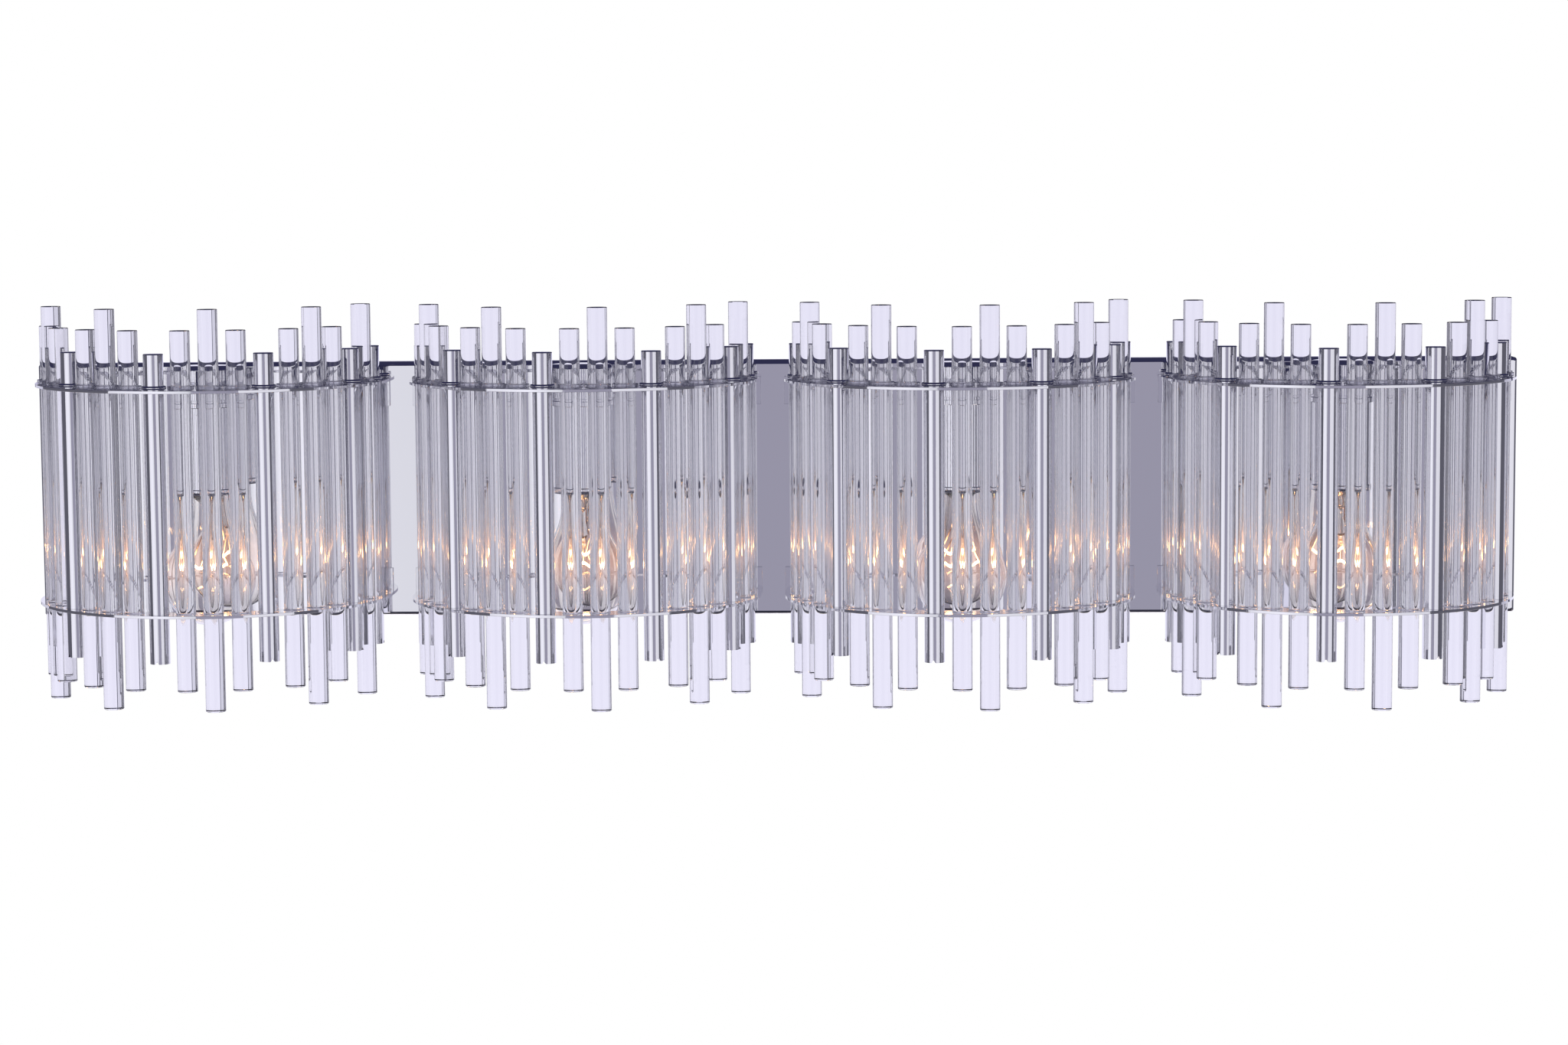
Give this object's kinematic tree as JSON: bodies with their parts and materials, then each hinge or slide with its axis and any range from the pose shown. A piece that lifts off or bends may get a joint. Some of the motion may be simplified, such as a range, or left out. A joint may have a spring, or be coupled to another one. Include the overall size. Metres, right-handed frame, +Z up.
{
  "type": "vanity light bar",
  "caption": "Wall light bar: a mirror-finish back pan carries half-drum shades of upright glass rods and chrome tubes around base-up clear bulbs.",
  "frame": {"origin": "middle of the back pan's height and width, on the wall plane, at the rear face of the wall bracket", "axes": "+X along the bar to the viewer's right, +Z up, +Y into the wall, so the front looks along -Y"},
  "size_m": [0.97, 0.1516, 0.254],
  "materials": {
    "chrome": "polished chrome plate on steel",
    "mirror_plate": "mirror-polished chrome sheet",
    "rod_glass": "solid clear glass, polished sides, cut ends",
    "bulb_glass": "thin clear blown glass",
    "lamp_base": "satin rolled thread",
    "filament": "glowing tungsten on bright lead wires",
    "lampholder": "moulded black phenolic",
    "zinc_steel": "zinc-plated steel",
    "ground_green": "green-dyed zinc steel"
  },
  "bodies": {
    "light_bar": {"back_pan": "mirror_plate", "wall_bracket": "zinc_steel", "stud_left": "zinc_steel", "stud_right": "zinc_steel", "cap_nut_left": "chrome", "cap_nut_right": "chrome", "ground_screw": "ground_green", "shade_1_top_band": "chrome", "shade_1_tube_cage": "chrome", "shade_1_glass_rods_a": "rod_glass", "shade_1_glass_rods_b": "rod_glass", "shade_1_glass_rods_c": "rod_glass", "shade_1_glass_rods_d": "rod_glass", "shade_1_glass_rods_e": "rod_glass", "socket_1_cup": "chrome", "socket_1_sleeve": "chrome", "socket_1_lampholder": "lampholder", "shade_2_top_band": "chrome", "shade_2_tube_cage": "chrome", "shade_2_glass_rods_a": "rod_glass", "shade_2_glass_rods_b": "rod_glass", "shade_2_glass_rods_c": "rod_glass", "shade_2_glass_rods_d": "rod_glass", "shade_2_glass_rods_e": "rod_glass", "socket_2_cup": "chrome", "socket_2_sleeve": "chrome", "socket_2_lampholder": "lampholder", "shade_3_top_band": "chrome", "shade_3_tube_cage": "chrome", "shade_3_glass_rods_a": "rod_glass", "shade_3_glass_rods_b": "rod_glass", "shade_3_glass_rods_c": "rod_glass", "shade_3_glass_rods_d": "rod_glass", "shade_3_glass_rods_e": "rod_glass", "socket_3_cup": "chrome", "socket_3_sleeve": "chrome", "socket_3_lampholder": "lampholder", "shade_4_top_band": "chrome", "shade_4_tube_cage": "chrome", "shade_4_glass_rods_a": "rod_glass", "shade_4_glass_rods_b": "rod_glass", "shade_4_glass_rods_c": "rod_glass", "shade_4_glass_rods_d": "rod_glass", "shade_4_glass_rods_e": "rod_glass", "socket_4_cup": "chrome", "socket_4_sleeve": "chrome", "socket_4_lampholder": "lampholder"},
    "bulb_1": {"bulb_1_glass": "bulb_glass", "bulb_1_base": "lamp_base", "bulb_1_filament": "filament"},
    "bulb_2": {"bulb_2_glass": "bulb_glass", "bulb_2_base": "lamp_base", "bulb_2_filament": "filament"},
    "bulb_3": {"bulb_3_glass": "bulb_glass", "bulb_3_base": "lamp_base", "bulb_3_filament": "filament"},
    "bulb_4": {"bulb_4_glass": "bulb_glass", "bulb_4_base": "lamp_base", "bulb_4_filament": "filament"}
  },
  "joints": [
    {"name": "bulb_1_turn", "type": "hinge", "parent": "light_bar", "child": "bulb_1", "pos_m": [-0.36645, -0.065, 0], "axis": [0, 0, 1], "range_deg": [0, 360]},
    {"name": "bulb_2_turn", "type": "hinge", "parent": "light_bar", "child": "bulb_2", "pos_m": [-0.12215, -0.065, 0], "axis": [0, 0, 1], "range_deg": [0, 360]},
    {"name": "bulb_3_turn", "type": "hinge", "parent": "light_bar", "child": "bulb_3", "pos_m": [0.12215, -0.065, 0], "axis": [0, 0, 1], "range_deg": [0, 360]},
    {"name": "bulb_4_turn", "type": "hinge", "parent": "light_bar", "child": "bulb_4", "pos_m": [0.36645, -0.065, 0], "axis": [0, 0, 1], "range_deg": [0, 360]}
  ]
}
